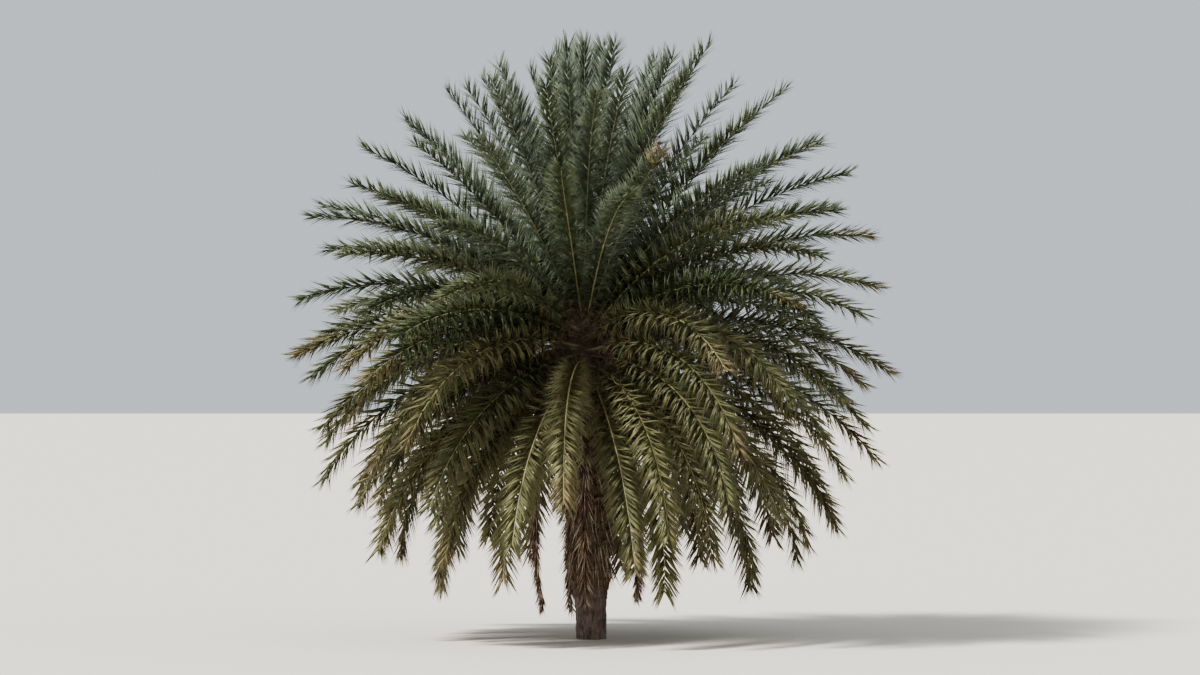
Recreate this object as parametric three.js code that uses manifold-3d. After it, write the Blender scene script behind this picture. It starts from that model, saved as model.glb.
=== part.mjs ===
// A full-grown date palm, from the flat cut of its trunk at the ground to the tips of its fronds.
// Millimetres, +Z up, with the origin at the centre of the cut. The trunk leans a little towards -X.
// The crown follows one rule: each frond stands a golden angle on from the last, and the older it is,
// the lower it leaves the trunk, the flatter it starts and the further it bends over.
import * as THREE from "three";
import { mergeVertices } from "three/addons/utils/BufferGeometryUtils.js";
import Module from "manifold-3d";

const DEG = Math.PI / 180;
const GOLDEN_ANGLE = Math.PI * (3 - Math.sqrt(5));
const UP = new THREE.Vector3(0, 0, 1);

// Trunk
const TRUNK_TOP = 4050; // height of the growing point's seat
const COLLAR_FOOT = 3450; // the live leaf bases start here
const FOOT_RADIUS = 205; // bare foot, narrower than the trunk above it
const STUB_RADIUS = 240; // trunk with the stubs of old leaf bases
const COLLAR_RADIUS = 245;
const TOP_RADIUS = 190;
const BARE_FOOT = 300; // height of the bare foot
const STUBS_FULL = 800; // height where the stubs stand out in full
const STUB_RELIEF = 20; // how far a stub stands out, and the seams between stubs go in
const STUB_COLUMNS = 20; // stubs and seams round the trunk, turn about
const STUB_PITCH = 110; // height from one ring of stubs to the next
const LEAN = -0.025; // sideways shift towards X for each unit of height

// Growing point, and the seat gap between it, the fronds and the trunk
const BUD_TIP = 4480;
const BUD_RADIUS = 184;
const BUD_SIDES = 13;
const SEAT_GAP = 0.3;

// Crown
const UPPER_FRONDS = 104; // they stand on the growing point and are one piece with it
const LOWER_FRONDS = 53; // each stands on the trunk by itself
const DRY_FRONDS = 5;
const LIVE_FRONDS = UPPER_FRONDS + LOWER_FRONDS;
const YOUNGEST_SEAT = { z: 4300, radius: 20 }; // in the bud
const LAST_UPPER_SEAT = { z: 4110, radius: 140 };
const FIRST_LOWER_Z = 4010; // round the collar
const OLDEST_Z = 3600;
const DRY_Z = 3500;
const ROOT_SINK = 10; // a rib starts this far inside the collar
const ROOT_DEPTH = 60; // and is carried on inwards before it is trimmed

// How a frond changes with its age, which is 0 for the youngest and 1 for the oldest
const CROWDING = 1.15; // over 1, more of the fronds are old
const SPREAD = 144 * DEG; // from the upright youngest frond down to the oldest
const SPREAD_POWER = 0.86;
const LEAST_DROOP = 12 * DEG; // how far a frond bends from its foot to its tip
const MOST_DROOP = 64 * DEG;
const DROOP_AGE = 0.75; // age at which a frond bends the most
const RISE_PER_DROOP = 0.42; // share of the bend that its foot makes up for by standing higher
const SPEAR_LEAN = 6 * DEG; // the youngest fronds lean towards -X, and the rest ever less
const SPEAR_LENGTH = 3850; // the youngest, still growing
const FROND_LENGTH = 4140;
const GROWN_AGE = 0.35; // age at which a frond has its full length
const OLDEST_LENGTH = 3800;
const SUNNY_SIDE = 0.04; // fronds towards +X are longer by this share, and shorter towards -X
const FRONT = -90 * DEG; // here the crown is parted, down to its heart
const PARTING = 26 * DEG; // how far a frond at the front stands aside
const PARTING_WIDTH = 38 * DEG;
const PARTED_AGES = [0.38, 0.52, 0.72, 0.86]; // it starts, is full, narrows and is as wide as it stays
const OLD_PARTING = 0.2; // share of the parting that the oldest fronds keep
const YOUNG_FOLD = 30 * DEG; // leaflets of a young frond stand up in a V, and an old one's hang
const OLD_FOLD = -6 * DEG;
const MOST_ROLL = 28 * DEG; // an old frond is twisted on its rib by up to this

// Dry fronds
const DRY_LENGTH = 3050;
const DRY_RISE = -46 * DEG;
const DRY_DROOP = 50 * DEG;
const DRY_FOLD = 24 * DEG;
const DRY_LEAFLET_LENGTH = 260;

// Rib: half width and depth
const RIB_FOOT = { half: 15, depth: 20 };
const RIB_TIP = { half: 3, depth: 5 };
const UPPER_PETIOLE_HALF = 16;
const LOWER_PETIOLE_HALF = 42;
const DRY_PETIOLE_HALF = 30;
const FLARE_SHARE = 0.12; // share of the length over which the petiole widens to its foot
const LIVE_BEND = 1.4; // power of the length: over 1 bends most at the tip, under 1 at the foot
const DRY_BEND = 0.45;
const SPINE_STEPS = 60;
const UPPER_PETIOLE_STATIONS = [0.09]; // where the bare petiole has a cross-section
const LOWER_PETIOLE_STATIONS = [0.035, 0.09];
const PETIOLE_SHARE = 0.17; // share of the length with no leaflets
const LAST_STATION = 0.985;

// Leaflets
const LEAFLET_LENGTH = 470;
const PAIRS = 7; // on each rib
const LEAFLET_WAVE = [0.2, 0.86]; // part of a half wave that their lengths follow along the blade
const FIRST_LEAN = 66 * DEG; // from the rib's line, next to the petiole
const LAST_LEAN = 36 * DEG;
const RANK = 20 * DEG; // they stand in two ranks, this far above and below the fold
const LEAFLET_CUTS = [1, 0.78, 0.58]; // lengths that a leaflet in another frond's way tries

const wasm = await Module();
wasm.setup();

// A repeatable number from 0 to 1 for frond k
function chance(k, salt) {
  const v = Math.sin(k * 12.9898 + salt * 78.233) * 43758.5453;
  return v - Math.floor(v);
}

// The same, from -1 to 1
function swing(k, salt) {
  return 2 * chance(k, salt) - 1;
}

function mix(a, b, t) {
  return a + (b - a) * t;
}

function leanAt(z) {
  return LEAN * z;
}

// Solids

function solidFrom(geometry) {
  const bare = geometry.clone();
  bare.deleteAttribute("normal");
  bare.deleteAttribute("uv");
  const merged = mergeVertices(bare, 1e-3);
  return new wasm.Manifold(
    new wasm.Mesh({
      numProp: 3,
      vertProperties: merged.getAttribute("position").array,
      triVerts: new Uint32Array(merged.index.array),
    }),
  );
}

function geometryFrom(solid) {
  const mesh = solid.getMesh();
  const geometry = new THREE.BufferGeometry();
  geometry.setAttribute(
    "position",
    new THREE.BufferAttribute(mesh.vertProperties, 3),
  );
  geometry.setIndex(new THREE.BufferAttribute(mesh.triVerts, 1));
  geometry.computeVertexNormals();
  return geometry;
}

function meshGeometry(points, triangles) {
  const geometry = new THREE.BufferGeometry().setFromPoints(points);
  geometry.setIndex(triangles.flat());
  return geometry;
}

// Turned about Z from a profile of [radius, height], then sheared to the trunk's lean
function turned(profile, sides) {
  const outline = profile.map(([r, z]) => new THREE.Vector2(r, z));
  const geometry = new THREE.LatheGeometry(outline, sides);
  geometry.rotateX(Math.PI / 2);
  const place = geometry.getAttribute("position");
  for (let i = 0; i < place.count; i++)
    place.setX(i, place.getX(i) + leanAt(place.getZ(i)));
  return geometry;
}

// Trunk: a turned core whose surface goes out at each old leaf-base stub and in at the seams between

function trunkRadius(z) {
  if (z >= COLLAR_FOOT)
    return mix(
      COLLAR_RADIUS,
      TOP_RADIUS,
      (z - COLLAR_FOOT) / (TRUNK_TOP - COLLAR_FOOT),
    );
  const t = THREE.MathUtils.smoothstep(z, BARE_FOOT, STUBS_FULL);
  return mix(FOOT_RADIUS, STUB_RADIUS, t);
}

function trunkGeometry() {
  const rings = Math.round((COLLAR_FOOT - BARE_FOOT) / STUB_PITCH);
  const profile = [
    [0, 0],
    [FOOT_RADIUS, 0],
  ];
  for (let ring = 0; ring <= rings; ring++) {
    const z = mix(BARE_FOOT, COLLAR_FOOT, ring / rings);
    profile.push([trunkRadius(z), z]);
  }
  profile.push([TOP_RADIUS, TRUNK_TOP], [0, TRUNK_TOP]);

  const isStub = (column, row) => (column + row) % 2 === 0;
  const geometry = turned(profile, STUB_COLUMNS);
  const place = geometry.getAttribute("position");
  for (let i = 0; i < place.count; i++) {
    const column = Math.floor(i / profile.length) % STUB_COLUMNS;
    const row = i % profile.length;
    if (row < 3 || row >= rings + 2) continue;
    const z = place.getZ(i);
    const full = THREE.MathUtils.smoothstep(z, BARE_FOOT, STUBS_FULL);
    const out = isStub(column, row) ? STUB_RELIEF : -STUB_RELIEF / 2;
    const grow = 1 + (out * full) / trunkRadius(z);
    place.setX(i, leanAt(z) + (place.getX(i) - leanAt(z)) * grow);
    place.setY(i, place.getY(i) * grow);
  }

  // Each square is split along its seam, so that a stub stands out as a diamond
  const triangles = [];
  for (let column = 0; column < STUB_COLUMNS; column++)
    for (let row = 0; row < profile.length - 1; row++) {
      const a = column * profile.length + row;
      const b = a + profile.length;
      if (isStub(column, row)) triangles.push(a, b, a + 1, b, b + 1, a + 1);
      else triangles.push(a, b, b + 1, a, b + 1, a + 1);
    }
  geometry.setIndex(triangles);
  return geometry;
}

// What the ribs are trimmed by: the smooth collar and the stubs under it, grown by the seat gap
function collarCutter() {
  const grown = SEAT_GAP / Math.cos(Math.PI / STUB_COLUMNS);
  const stubs = STUB_RADIUS + STUB_RELIEF + grown;
  return solidFrom(
    turned(
      [
        [0, COLLAR_FOOT - 4 * STUB_PITCH],
        [stubs, COLLAR_FOOT - 4 * STUB_PITCH],
        [stubs, COLLAR_FOOT - STUB_PITCH],
        [COLLAR_RADIUS + grown, COLLAR_FOOT],
        [TOP_RADIUS + grown, TRUNK_TOP],
        [0, TRUNK_TOP],
      ],
      STUB_COLUMNS,
    ),
  );
}

function budGeometry() {
  return turned(
    [
      [0, TRUNK_TOP + SEAT_GAP],
      [BUD_RADIUS, TRUNK_TOP + SEAT_GAP],
      [mix(BUD_RADIUS, 0, 0.3), mix(TRUNK_TOP, BUD_TIP, 0.45)],
      [0, BUD_TIP],
    ],
    BUD_SIDES,
  );
}

// The crown's rule

// Where a frond stands round the trunk, once those at the front have parted
function parted(azimuth, age) {
  const [starts, full, closes, ends] = PARTED_AGES;
  const { euclideanModulo, smoothstep } = THREE.MathUtils;
  const off = euclideanModulo(azimuth - FRONT + Math.PI, 2 * Math.PI) - Math.PI;
  const share =
    smoothstep(age, starts, full) *
    mix(1, OLD_PARTING, smoothstep(age, closes, ends));
  const aside = PARTING * share * Math.exp(-((off / PARTING_WIDTH) ** 2));
  return FRONT + off + Math.sign(off) * aside;
}

// Frond k of the live ones, 0 being the youngest, upright at the middle of the crown
function liveFrond(k) {
  const upper = k < UPPER_FRONDS;
  const age = 1 - (1 - k / (LIVE_FRONDS - 1)) ** CROWDING;
  const azimuth = parted(GOLDEN_ANGLE * k + 5 * DEG * swing(k, 1), age);
  const bending = mix(LEAST_DROOP, MOST_DROOP, Math.min(1, age / DROOP_AGE) ** 1.3);
  const droop = bending * (1 + 0.18 * swing(k, 2));
  const sideways = SPEAR_LEAN * (1 - age) * Math.cos(azimuth);
  const leaning = Math.PI / 2 - SPREAD * age ** SPREAD_POWER + sideways;
  const growing = mix(SPEAR_LENGTH, FROND_LENGTH, Math.min(1, age / GROWN_AGE));
  const past = Math.max(0, (age - DROOP_AGE) / (1 - DROOP_AGE));
  const length = mix(growing, OLDEST_LENGTH, past) * (1 + 0.04 * swing(k, 4));
  return {
    age,
    azimuth,
    ...(upper ? upperSeat(k) : lowerSeat(k - UPPER_FRONDS)),
    rise: leaning + RISE_PER_DROOP * droop + 4.5 * DEG * swing(k, 3),
    droop,
    sway: 10 * DEG * swing(k, 5),
    roll: MOST_ROLL * swing(k, 6) * age,
    fold: mix(YOUNG_FOLD, OLD_FOLD, age),
    length: length * (1 + SUNNY_SIDE * Math.cos(azimuth)),
    leaflet: LEAFLET_LENGTH,
    bend: LIVE_BEND,
    petioleHalf: upper ? UPPER_PETIOLE_HALF : LOWER_PETIOLE_HALF,
    petioleStations: upper ? UPPER_PETIOLE_STATIONS : LOWER_PETIOLE_STATIONS,
  };
}

function upperSeat(k) {
  const place = k / UPPER_FRONDS;
  return {
    z: mix(YOUNGEST_SEAT.z, LAST_UPPER_SEAT.z, place),
    rootRadius: mix(YOUNGEST_SEAT.radius, LAST_UPPER_SEAT.radius, place),
  };
}

function lowerSeat(n) {
  const z = mix(FIRST_LOWER_Z, OLDEST_Z, n / (LOWER_FRONDS - 1));
  return { z, rootRadius: trunkRadius(z) - ROOT_SINK };
}

// Dry frond j: broken down at its foot, and hanging along the trunk under the live ones
function dryFrond(j) {
  return {
    age: 1,
    azimuth: (360 / DRY_FRONDS) * (j - 0.4 + 0.22 * swing(j, 11)) * DEG,
    z: DRY_Z,
    rootRadius: trunkRadius(DRY_Z) - ROOT_SINK,
    rise: DRY_RISE,
    droop: DRY_DROOP + 4 * DEG * swing(j, 12),
    sway: 5 * DEG * swing(j, 15),
    roll: 0,
    fold: DRY_FOLD,
    length: DRY_LENGTH * (1 + 0.08 * swing(j, 14)),
    leaflet: DRY_LEAFLET_LENGTH,
    bend: DRY_BEND,
    petioleHalf: DRY_PETIOLE_HALF,
    petioleStations: LOWER_PETIOLE_STATIONS,
  };
}

// The rib's line: place and directions at a share s of the frond's length
function spineOf(frond) {
  const foot = new THREE.Vector3(
    leanAt(frond.z) + frond.rootRadius * Math.cos(frond.azimuth),
    frond.rootRadius * Math.sin(frond.azimuth),
    frond.z,
  );
  const heading = (s) => {
    const bent = Math.max(0, s);
    const tilt = frond.rise - frond.droop * bent ** frond.bend;
    const turn = frond.azimuth + frond.sway * bent * bent;
    return new THREE.Vector3(
      Math.cos(tilt) * Math.cos(turn),
      Math.cos(tilt) * Math.sin(turn),
      Math.sin(tilt),
    );
  };
  const points = [foot];
  for (let i = 0; i < SPINE_STEPS; i++) {
    const step = heading((i + 0.5) / SPINE_STEPS).multiplyScalar(
      frond.length / SPINE_STEPS,
    );
    points.push(points[i].clone().add(step));
  }
  return (s) => {
    const at = Math.min(Math.max(s, 0), 1) * SPINE_STEPS;
    const i = Math.min(Math.floor(at), SPINE_STEPS - 1);
    const along = heading(s);
    const point = points[i].clone().lerp(points[i + 1], at - i);
    if (s < 0) point.addScaledVector(along, s * frond.length);
    const turn = frond.azimuth + frond.sway * Math.max(0, s) ** 2;
    const side = new THREE.Vector3(-Math.sin(turn), Math.cos(turn), 0);
    side.applyAxisAngle(along, frond.roll * Math.max(0, s));
    const up = side.clone().cross(along).negate();
    return { point, along, side, up };
  };
}

// Rib: three-sided, flat above and keeled below, and flared at its foot
function ribSize(frond, s) {
  const flare = (frond.petioleHalf - RIB_FOOT.half) * Math.max(0, 1 - s / FLARE_SHARE) ** 2;
  return {
    half: mix(RIB_FOOT.half, RIB_TIP.half, s) + flare,
    depth: mix(RIB_FOOT.depth, RIB_TIP.depth, s) + 0.8 * flare,
  };
}

// Leaflets are longest at the middle of the blade and lean further forward towards its tip
function leafletReach(frond, blade) {
  return frond.leaflet * Math.sin(Math.PI * mix(...LEAFLET_WAVE, blade)) ** 0.6;
}

// Stations along the rib: bare petiole first, then one for each leaflet pair
function stationsOf(frond) {
  const spine = spineOf(frond);
  const petiole = [-ROOT_DEPTH / frond.length, ...frond.petioleStations, PETIOLE_SHARE];
  const shares = [...petiole];
  for (let i = 1; i <= PAIRS; i++)
    shares.push(mix(PETIOLE_SHARE, LAST_STATION, i / PAIRS));
  const stations = shares.map((s) => {
    const { point, along, side, up } = spine(s);
    const { half, depth } = ribSize(frond, Math.max(0, s));
    return {
      along,
      side,
      up,
      corners: [
        point.clone().addScaledVector(side, half),
        point.clone().addScaledVector(side, -half),
        point.clone().addScaledVector(up, -depth),
      ],
    };
  });
  return { stations, first: petiole.length - 1, tip: spine(1).point };
}

// The tip of the leaflet that grows from the rib's face between stations i and i + 1
function leafletTip(frond, stations, first, i, hand, cut) {
  const a = stations[i];
  const b = stations[i + 1];
  const blade = (i - first + 0.5) / PAIRS;
  const edge = hand > 0 ? 0 : 1;
  const root = a.corners[edge].clone().lerp(b.corners[edge], 0.5);
  root.lerp(a.corners[2].clone().lerp(b.corners[2], 0.5), 0.3);
  const lean = mix(FIRST_LEAN, LAST_LEAN, blade);
  const fold = frond.fold + (i % 2 === 0 ? RANK : -RANK);
  const out = a.side
    .clone()
    .multiplyScalar(hand * Math.cos(fold))
    .addScaledVector(a.up, Math.sin(fold));
  const way = a.along
    .clone()
    .multiplyScalar(Math.cos(lean))
    .addScaledVector(out, Math.sin(lean));
  return root.addScaledVector(way, leafletReach(frond, blade) * cut);
}

// One closed skin of rib and leaflets. tips holds each leaflet's tip by "station,hand", or nothing
function frondGeometry({ stations, tip }, tips) {
  const points = stations.flatMap((station) => station.corners);
  const triangles = [[0, 2, 1]];
  const face = (a, b, c, d, apex) => {
    if (!apex) {
      triangles.push([a, b, c], [a, c, d]);
      return;
    }
    const peak = points.push(apex) - 1;
    triangles.push([a, b, peak], [b, c, peak], [c, d, peak], [d, a, peak]);
  };
  for (let i = 0; i < stations.length - 1; i++) {
    const [left, right, keel] = [3 * i, 3 * i + 1, 3 * i + 2];
    face(left, right, right + 3, left + 3);
    face(right, keel, keel + 3, right + 3, tips.get(i + ",-1"));
    face(keel, left, left + 3, keel + 3, tips.get(i + ",1"));
  }
  const last = 3 * (stations.length - 1);
  const end = points.push(tip) - 1;
  triangles.push(
    [last, last + 1, end],
    [last + 1, last + 2, end],
    [last + 2, last, end],
  );
  return meshGeometry(points, triangles);
}

// The pyramid that a leaflet adds to the rib, by itself
function leafletSolid(stations, i, hand, peak) {
  const edge = hand > 0 ? 0 : 1;
  const base = [
    stations[i].corners[edge],
    stations[i].corners[2],
    stations[i + 1].corners[2],
    stations[i + 1].corners[edge],
  ];
  const triangles = [
    [0, 1, 4],
    [1, 2, 4],
    [2, 3, 4],
    [3, 0, 4],
    [2, 1, 0],
    [3, 2, 0],
  ];
  const turnedIn = hand > 0 ? triangles.map(([a, b, c]) => [a, c, b]) : triangles;
  return solidFrom(meshGeometry([...base, peak], turnedIn));
}

function boxOf(points) {
  return new THREE.Box3().setFromPoints(points);
}

// Gives every frond its leaflets. One that meets another frond or the trunk is shortened, or left out.
function growLeaflets(fronds, trunk) {
  trunk.computeBoundingBox();
  const taken = fronds.map(({ built }, owner) => ({
    owner,
    boxes: built.stations
      .slice(1)
      .map((s, i) => boxOf([...s.corners, ...built.stations[i].corners])),
    solid: solidFrom(frondGeometry(built, new Map())),
  }));
  taken.push({ boxes: [trunk.boundingBox], solid: solidFrom(trunk) });
  const inTheWay = (solid, box, owner) =>
    taken.some(
      (other) =>
        other.owner !== owner &&
        other.boxes.some((b) => b.intersectsBox(box)) &&
        solid.intersect(other.solid).volume() > 0,
    );
  fronds.forEach(({ frond, built, tips }, owner) => {
    const { stations, first } = built;
    for (let i = first; i < stations.length - 1; i++)
      for (const hand of [-1, 1])
        for (const cut of LEAFLET_CUTS) {
          const peak = leafletTip(frond, stations, first, i, hand, cut);
          const solid = leafletSolid(stations, i, hand, peak);
          const box = boxOf([
            ...stations[i].corners,
            ...stations[i + 1].corners,
            peak,
          ]);
          if (inTheWay(solid, box, owner)) continue;
          tips.set(i + "," + hand, peak);
          taken.push({ owner, boxes: [box], solid });
          break;
        }
  });
}

// Assembly

const BARK = new THREE.MeshStandardMaterial({
  color: 0x5b4c42,
  roughness: 0.95,
  metalness: 0,
});
const UPPER_LEAF = new THREE.MeshStandardMaterial({
  color: 0x55664f,
  roughness: 0.6,
  metalness: 0,
});
const LOWER_LEAF = new THREE.MeshStandardMaterial({
  color: 0x59613f,
  roughness: 0.6,
  metalness: 0,
});
const OLD_LEAF = new THREE.MeshStandardMaterial({
  color: 0x757044,
  roughness: 0.65,
  metalness: 0,
});
const DRY_LEAF = new THREE.MeshStandardMaterial({
  color: 0x6b5138,
  roughness: 0.9,
  metalness: 0,
});

const OLD_FROM = 0.8; // age from which a frond has turned olive

function named(name, geometry, material) {
  const mesh = new THREE.Mesh(geometry, material);
  mesh.name = name;
  return mesh;
}

function plan(frond, name, material) {
  return { frond, name, material, built: stationsOf(frond), tips: new Map() };
}

const live = Array.from({ length: LIVE_FRONDS }, (_, k) => {
  const frond = liveFrond(k);
  const number = String(k - UPPER_FRONDS + 1).padStart(2, "0");
  const material = frond.age > OLD_FROM ? OLD_LEAF : LOWER_LEAF;
  return plan(frond, "frond_" + number, material);
});
const dry = Array.from({ length: DRY_FRONDS }, (_, j) =>
  plan(dryFrond(j), "dry_frond_" + (j + 1), DRY_LEAF),
);
const trunk = trunkGeometry();
growLeaflets([...live, ...dry], trunk);

const palm = new THREE.Group();
palm.name = "date_palm";
palm.add(named("trunk", trunk, BARK));

const bud = live
  .slice(0, UPPER_FRONDS)
  .map(({ built, tips }) => solidFrom(frondGeometry(built, tips)))
  .reduce((all, frond) => all.add(frond), solidFrom(budGeometry()));
palm.add(named("upper_fronds", geometryFrom(bud), UPPER_LEAF));

const cutter = collarCutter();
for (const { name, material, built, tips } of [
  ...live.slice(UPPER_FRONDS),
  ...dry,
]) {
  const whole = solidFrom(frondGeometry(built, tips));
  palm.add(named(name, geometryFrom(whole.subtract(cutter)), material));
}

export default palm;
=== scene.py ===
# Looks of the date palm, built round its solids. Metres, +Z up, +Y away from the camera.
# The fronds follow the same rule as the solids, carried on to single leaflets.
import math

import bpy
import numpy as np
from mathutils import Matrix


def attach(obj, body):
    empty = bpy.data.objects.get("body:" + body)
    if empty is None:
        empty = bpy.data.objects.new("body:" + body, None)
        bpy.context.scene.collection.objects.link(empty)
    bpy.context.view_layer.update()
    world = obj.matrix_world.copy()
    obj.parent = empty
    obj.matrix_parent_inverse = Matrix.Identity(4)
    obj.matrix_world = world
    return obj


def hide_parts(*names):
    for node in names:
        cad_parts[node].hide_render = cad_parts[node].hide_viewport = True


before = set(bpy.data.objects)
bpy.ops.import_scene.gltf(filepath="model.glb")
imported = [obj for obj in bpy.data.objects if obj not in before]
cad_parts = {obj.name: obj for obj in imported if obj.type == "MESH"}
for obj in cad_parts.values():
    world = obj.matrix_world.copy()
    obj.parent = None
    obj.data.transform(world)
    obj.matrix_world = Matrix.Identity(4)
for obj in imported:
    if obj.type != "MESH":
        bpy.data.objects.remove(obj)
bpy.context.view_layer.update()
bpy.ops.object.select_all(action="DESELECT")


# Studio
# A wide pale floor under a pale sky, with one large soft key light high on the left and a weak fill on
# the right. It only shows the palm off, and none of it is part of the palm.

FLOOR_SIZE = 600.0
SKY_STRENGTH = 0.76
KEY_LIGHT = {
    "strength": 5.9,
    "softness": math.radians(9),
    "height": math.radians(48),
    "turn": math.radians(57),
}
FILL_LIGHT = {
    "strength": 0.35,
    "softness": math.radians(60),
    "height": math.radians(30),
    "turn": math.radians(-60),
}


def paint(red, green, blue):
    """A colour as a paint chart gives it, 0 to 255, made linear with full alpha."""
    chart = np.array([red, green, blue]) / 255
    return (*np.where(chart <= 0.04045, chart / 12.92, ((chart + 0.055) / 1.055) ** 2.4), 1.0)


def new_material(name):
    material = bpy.data.materials.new(name)
    material.use_nodes = True
    return material, material.node_tree, material.node_tree.nodes["Principled BSDF"]


def add_floor():
    bpy.ops.mesh.primitive_plane_add(size=FLOOR_SIZE)
    floor = bpy.context.object
    floor.name = "studio_floor"
    material, _, shader = new_material("studio_floor")
    shader.inputs["Base Color"].default_value = paint(214, 207, 196)
    shader.inputs["Roughness"].default_value = 0.95
    floor.data.materials.append(material)


def add_sky():
    world = bpy.data.worlds.new("studio_sky")
    world.use_nodes = True
    background = world.node_tree.nodes["Background"]
    background.inputs["Color"].default_value = paint(226, 232, 238)
    background.inputs["Strength"].default_value = SKY_STRENGTH
    bpy.context.scene.world = world


def add_light(name, strength, softness, height, turn):
    """A far, soft light, at a height above the floor and turned from the camera towards its left."""
    bpy.ops.object.light_add(type="SUN", rotation=(math.pi / 2 - height, 0, -turn))
    light = bpy.context.object
    light.name = name
    light.data.energy = strength
    light.data.angle = softness


add_floor()
add_sky()
add_light("key_light", **KEY_LIGHT)
add_light("fill_light", **FILL_LIGHT)


# Camera
# It stands where the photograph's did, 60 m from the palm with its eye 3.7 m above the palm's foot, and
# looks almost level at it. Its lens is longer, so that the palm fills the frame.

CAMERA_DISTANCE = 60.0
EYE_HEIGHT = 3.7
VIEW_WIDTH = 16.43  # across the frame, at the palm
AIM = (0.114, 4.125)  # middle of the frame, across and up
SENSOR_WIDTH = 36.0
VIEW_DEPTH = 1000.0


def add_camera():
    facing = math.atan((AIM[1] - EYE_HEIGHT) / CAMERA_DISTANCE)
    bpy.ops.object.camera_add(
        location=(AIM[0], -CAMERA_DISTANCE, EYE_HEIGHT),
        rotation=(math.pi / 2 + facing, 0, 0),
    )
    camera = bpy.context.object
    camera.name = "photo_camera"
    camera.data.sensor_width = SENSOR_WIDTH
    camera.data.lens = SENSOR_WIDTH * CAMERA_DISTANCE / VIEW_WIDTH
    camera.data.clip_end = VIEW_DEPTH
    bpy.context.scene.camera = camera


add_camera()
bpy.context.scene.view_settings.look = "AgX - Medium High Contrast"
bpy.ops.object.select_all(action="DESELECT")


# Trunk
# One fibrous stem that leans a little to the left. It has no true bark: its surface is a dark mat of fibre
# and old leaf bases, and the narrower foot is worn bare of them.

TRUNK_TOP = 4.05
COLLAR_FOOT = 3.45  # the live leaf bases start here
FOOT_RADIUS = 0.205
STUB_RADIUS = 0.24  # under the old leaf bases
COLLAR_RADIUS = 0.245
TOP_RADIUS = 0.19
BARE_FOOT = 0.3  # height of the bare foot
STUBS_FULL = 0.8  # height where the old leaf bases have their full size
LEAN = -0.025  # sideways shift for each unit of height
TRUNK_SIDES = 96
TRUNK_RINGS = 150
TRUNK_RELIEF = {  # grain, depth, and how far it is drawn out along each axis
    "trunk_lumps": (0.16, 0.03, (1, 1, 1)),
    "trunk_fissures": (0.035, 0.016, (1, 1, 5)),
    "trunk_rings": (0.05, 0.018, (6, 6, 1)),
}
STREAK_SHARE = 0.65  # of fibre's colour, and the rest is blotches


def mix(a, b, t):
    return a + (b - a) * t


def smoothstep(value, low, high):
    t = np.clip((value - low) / (high - low), 0, 1)
    return t * t * (3 - 2 * t)


def lean_at(z):
    return LEAN * z


def trunk_radius(z):
    collar = mix(COLLAR_RADIUS, TOP_RADIUS, (z - COLLAR_FOOT) / (TRUNK_TOP - COLLAR_FOOT))
    below = mix(FOOT_RADIUS, STUB_RADIUS, smoothstep(z, BARE_FOOT, STUBS_FULL))
    return np.where(np.asarray(z) >= COLLAR_FOOT, collar, below)


def draw_up(heights, radius):
    """Draws the active disc up the leaning stem, as wide at each height as radius says."""
    bpy.ops.object.mode_set(mode="EDIT")
    bpy.ops.mesh.select_all(action="SELECT")
    for low, high in zip(heights, heights[1:]):
        step = (lean_at(high - low), 0, high - low)
        bpy.ops.mesh.extrude_region_move(TRANSFORM_OT_translate={"value": step})
        grow = float(radius(high) / radius(low))
        bpy.ops.transform.resize(value=(grow, grow, 1), center_override=(lean_at(high), 0, high))
    bpy.ops.mesh.select_all(action="SELECT")
    bpy.ops.mesh.normals_make_consistent(inside=False)
    bpy.ops.object.mode_set(mode="OBJECT")


def carve(piece, name, grain, depth, stretch=(1, 1, 1)):
    """Carves a cloudy relief into a piece: lumps of one grain, drawn out along the axes by stretch."""
    texture = bpy.data.textures.new(name, "CLOUDS")
    texture.noise_scale = grain
    texture.noise_depth = 3
    bpy.ops.object.empty_add()
    ruler = bpy.context.object
    ruler.scale = stretch
    bpy.context.view_layer.update()
    relief = piece.modifiers.new(name, "DISPLACE")
    relief.texture = texture
    relief.texture_coords = "OBJECT"
    relief.texture_coords_object = ruler
    relief.strength = depth
    relief.mid_level = 0.5
    bpy.context.view_layer.objects.active = piece
    bpy.ops.object.modifier_apply(modifier=relief.name)
    bpy.data.objects.remove(ruler)


def start_finish(name, more_inputs):
    """A node group for a finish between a light and a dark colour, with its sockets and their nodes."""
    group = bpy.data.node_groups.new(name, "ShaderNodeTree")
    for socket, kind in {"Light": "Color", "Dark": "Color", **more_inputs}.items():
        group.interface.new_socket(socket, in_out="INPUT", socket_type=f"NodeSocket{kind}")
    for socket, kind in {"Color": "Color", "Roughness": "Float", "Height": "Float"}.items():
        group.interface.new_socket(socket, in_out="OUTPUT", socket_type=f"NodeSocket{kind}")
    return group, group.nodes.new("NodeGroupInput"), group.nodes.new("NodeGroupOutput")


def add_noise(group, place, scale, detail, roughness=0.5):
    noise = group.nodes.new("ShaderNodeTexNoise")
    noise.inputs["Scale"].default_value = scale
    noise.inputs["Detail"].default_value = detail
    noise.inputs["Roughness"].default_value = roughness
    group.links.new(place, noise.inputs["Vector"])
    return noise.outputs["Fac"]


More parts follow.
